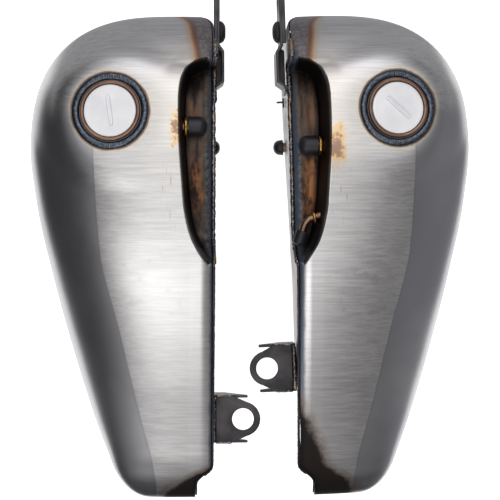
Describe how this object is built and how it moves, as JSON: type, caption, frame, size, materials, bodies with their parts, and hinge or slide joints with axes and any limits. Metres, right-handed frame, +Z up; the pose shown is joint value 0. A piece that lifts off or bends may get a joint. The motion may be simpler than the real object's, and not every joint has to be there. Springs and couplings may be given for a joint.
{
  "type": "split motorcycle fuel tank",
  "caption": "Matched left and right halves of a split steel motorcycle fuel tank with screw-in filler plugs, vent stubs, front tabs and rear eyes.",
  "frame": {"origin": "under the middle of the pair, at the lowest face", "axes": "+X to the rider's right, +Y forward, +Z up"},
  "size_m": [0.4609, 0.5345, 0.2153],
  "materials": {
    "raw_steel": "satin, heat tinted",
    "weld_bead": "welded",
    "bracket_steel": "dark, heat tinted",
    "brazing": "rough",
    "white_plastic": "satin",
    "black_vinyl": "soft gloss",
    "black_rubber": "matte"
  },
  "bodies": {
    "left_tank": {"left_outer_shell": "raw_steel", "left_tunnel_wall": "raw_steel", "left_bottom_pan": "raw_steel", "left_seam_weld": "weld_bead", "left_filler_neck": "weld_bead", "left_filler_weld": "weld_bead", "left_vent_tube": "raw_steel", "left_vent_braze": "brazing", "left_crossover_nipple": "raw_steel", "left_front_bracket": "bracket_steel", "left_front_bushing": "black_rubber", "left_rear_eye_plate": "bracket_steel", "left_rear_channel": "bracket_steel", "left_rear_bracket_weld": "weld_bead", "left_petcock_bung": "weld_bead", "left_petcock_plug": "black_vinyl"},
    "right_tank": {"right_outer_shell": "raw_steel", "right_tunnel_wall": "raw_steel", "right_bottom_pan": "raw_steel", "right_seam_weld": "weld_bead", "right_filler_neck": "weld_bead", "right_filler_weld": "weld_bead", "right_vent_tube": "raw_steel", "right_vent_braze": "brazing", "right_crossover_nipple": "raw_steel", "right_front_bracket": "bracket_steel", "right_front_bushing": "black_rubber", "right_rear_eye_plate": "bracket_steel", "right_rear_channel": "bracket_steel", "right_rear_bracket_weld": "weld_bead", "right_breather_tube": "raw_steel", "right_breather_braze": "brazing", "right_hose_clip": "bracket_steel"},
    "left_gasket": {"left_filler_gasket": "black_rubber"},
    "left_plug": {"left_filler_plug": "white_plastic"},
    "left_vent_cap": {"left_vent_cap": "black_vinyl"},
    "left_crossover_cap": {"left_crossover_cap": "black_vinyl"},
    "right_gasket": {"right_filler_gasket": "black_rubber"},
    "right_plug": {"right_filler_plug": "white_plastic"},
    "right_vent_cap": {"right_vent_cap": "black_vinyl"},
    "right_crossover_cap": {"right_crossover_cap": "black_vinyl"},
    "right_breather_cap": {"right_breather_cap": "black_vinyl"}
  },
  "joints": [
    {"name": "tank_spacing", "type": "slide", "parent": "left_tank", "child": "right_tank", "axis": [1, 0, 0], "range_m": [-0.0246, 0.08]},
    {"name": "left_plug_lift", "type": "slide", "parent": "left_tank", "child": "left_gasket", "axis": [-0.1091, 0.0595, 0.9922], "range_m": [0, 0.0128]},
    {"name": "left_plug_turn", "type": "hinge", "parent": "left_gasket", "child": "left_plug", "pos_m": [-0.143, 0.137, 0.20834], "axis": [-0.1091, 0.0595, 0.9922], "range_deg": [0, 1440]},
    {"name": "left_vent_cap_pull", "type": "slide", "parent": "left_tank", "child": "left_vent_cap", "axis": [1, 0, 0], "range_m": [0, 0.014]},
    {"name": "left_crossover_cap_pull", "type": "slide", "parent": "left_tank", "child": "left_crossover_cap", "axis": [1, 0, 0], "range_m": [0, 0.008]},
    {"name": "right_plug_lift", "type": "slide", "parent": "right_tank", "child": "right_gasket", "axis": [0.1071, 0.0632, 0.9922], "range_m": [0, 0.0128]},
    {"name": "right_plug_turn", "type": "hinge", "parent": "right_gasket", "child": "right_plug", "pos_m": [0.14167, 0.14116, 0.20834], "axis": [0.1071, 0.0632, 0.9922], "range_deg": [0, 1440]},
    {"name": "right_vent_cap_pull", "type": "slide", "parent": "right_tank", "child": "right_vent_cap", "axis": [-0.9994, -0.034, 0], "range_m": [0, 0.014]},
    {"name": "right_crossover_cap_pull", "type": "slide", "parent": "right_tank", "child": "right_crossover_cap", "axis": [-0.9994, -0.034, 0], "range_m": [0, 0.008]},
    {"name": "right_breather_cap_pull", "type": "slide", "parent": "right_tank", "child": "right_breather_cap", "axis": [-0.3121, -0.95, 0], "range_m": [0, 0.006]}
  ],
  "couplings": [
    {"joint": "left_plug_turn", "follows": "left_plug_lift", "rad_per_m": 1963.5},
    {"joint": "right_plug_turn", "follows": "right_plug_lift", "rad_per_m": 1963.5}
  ]
}
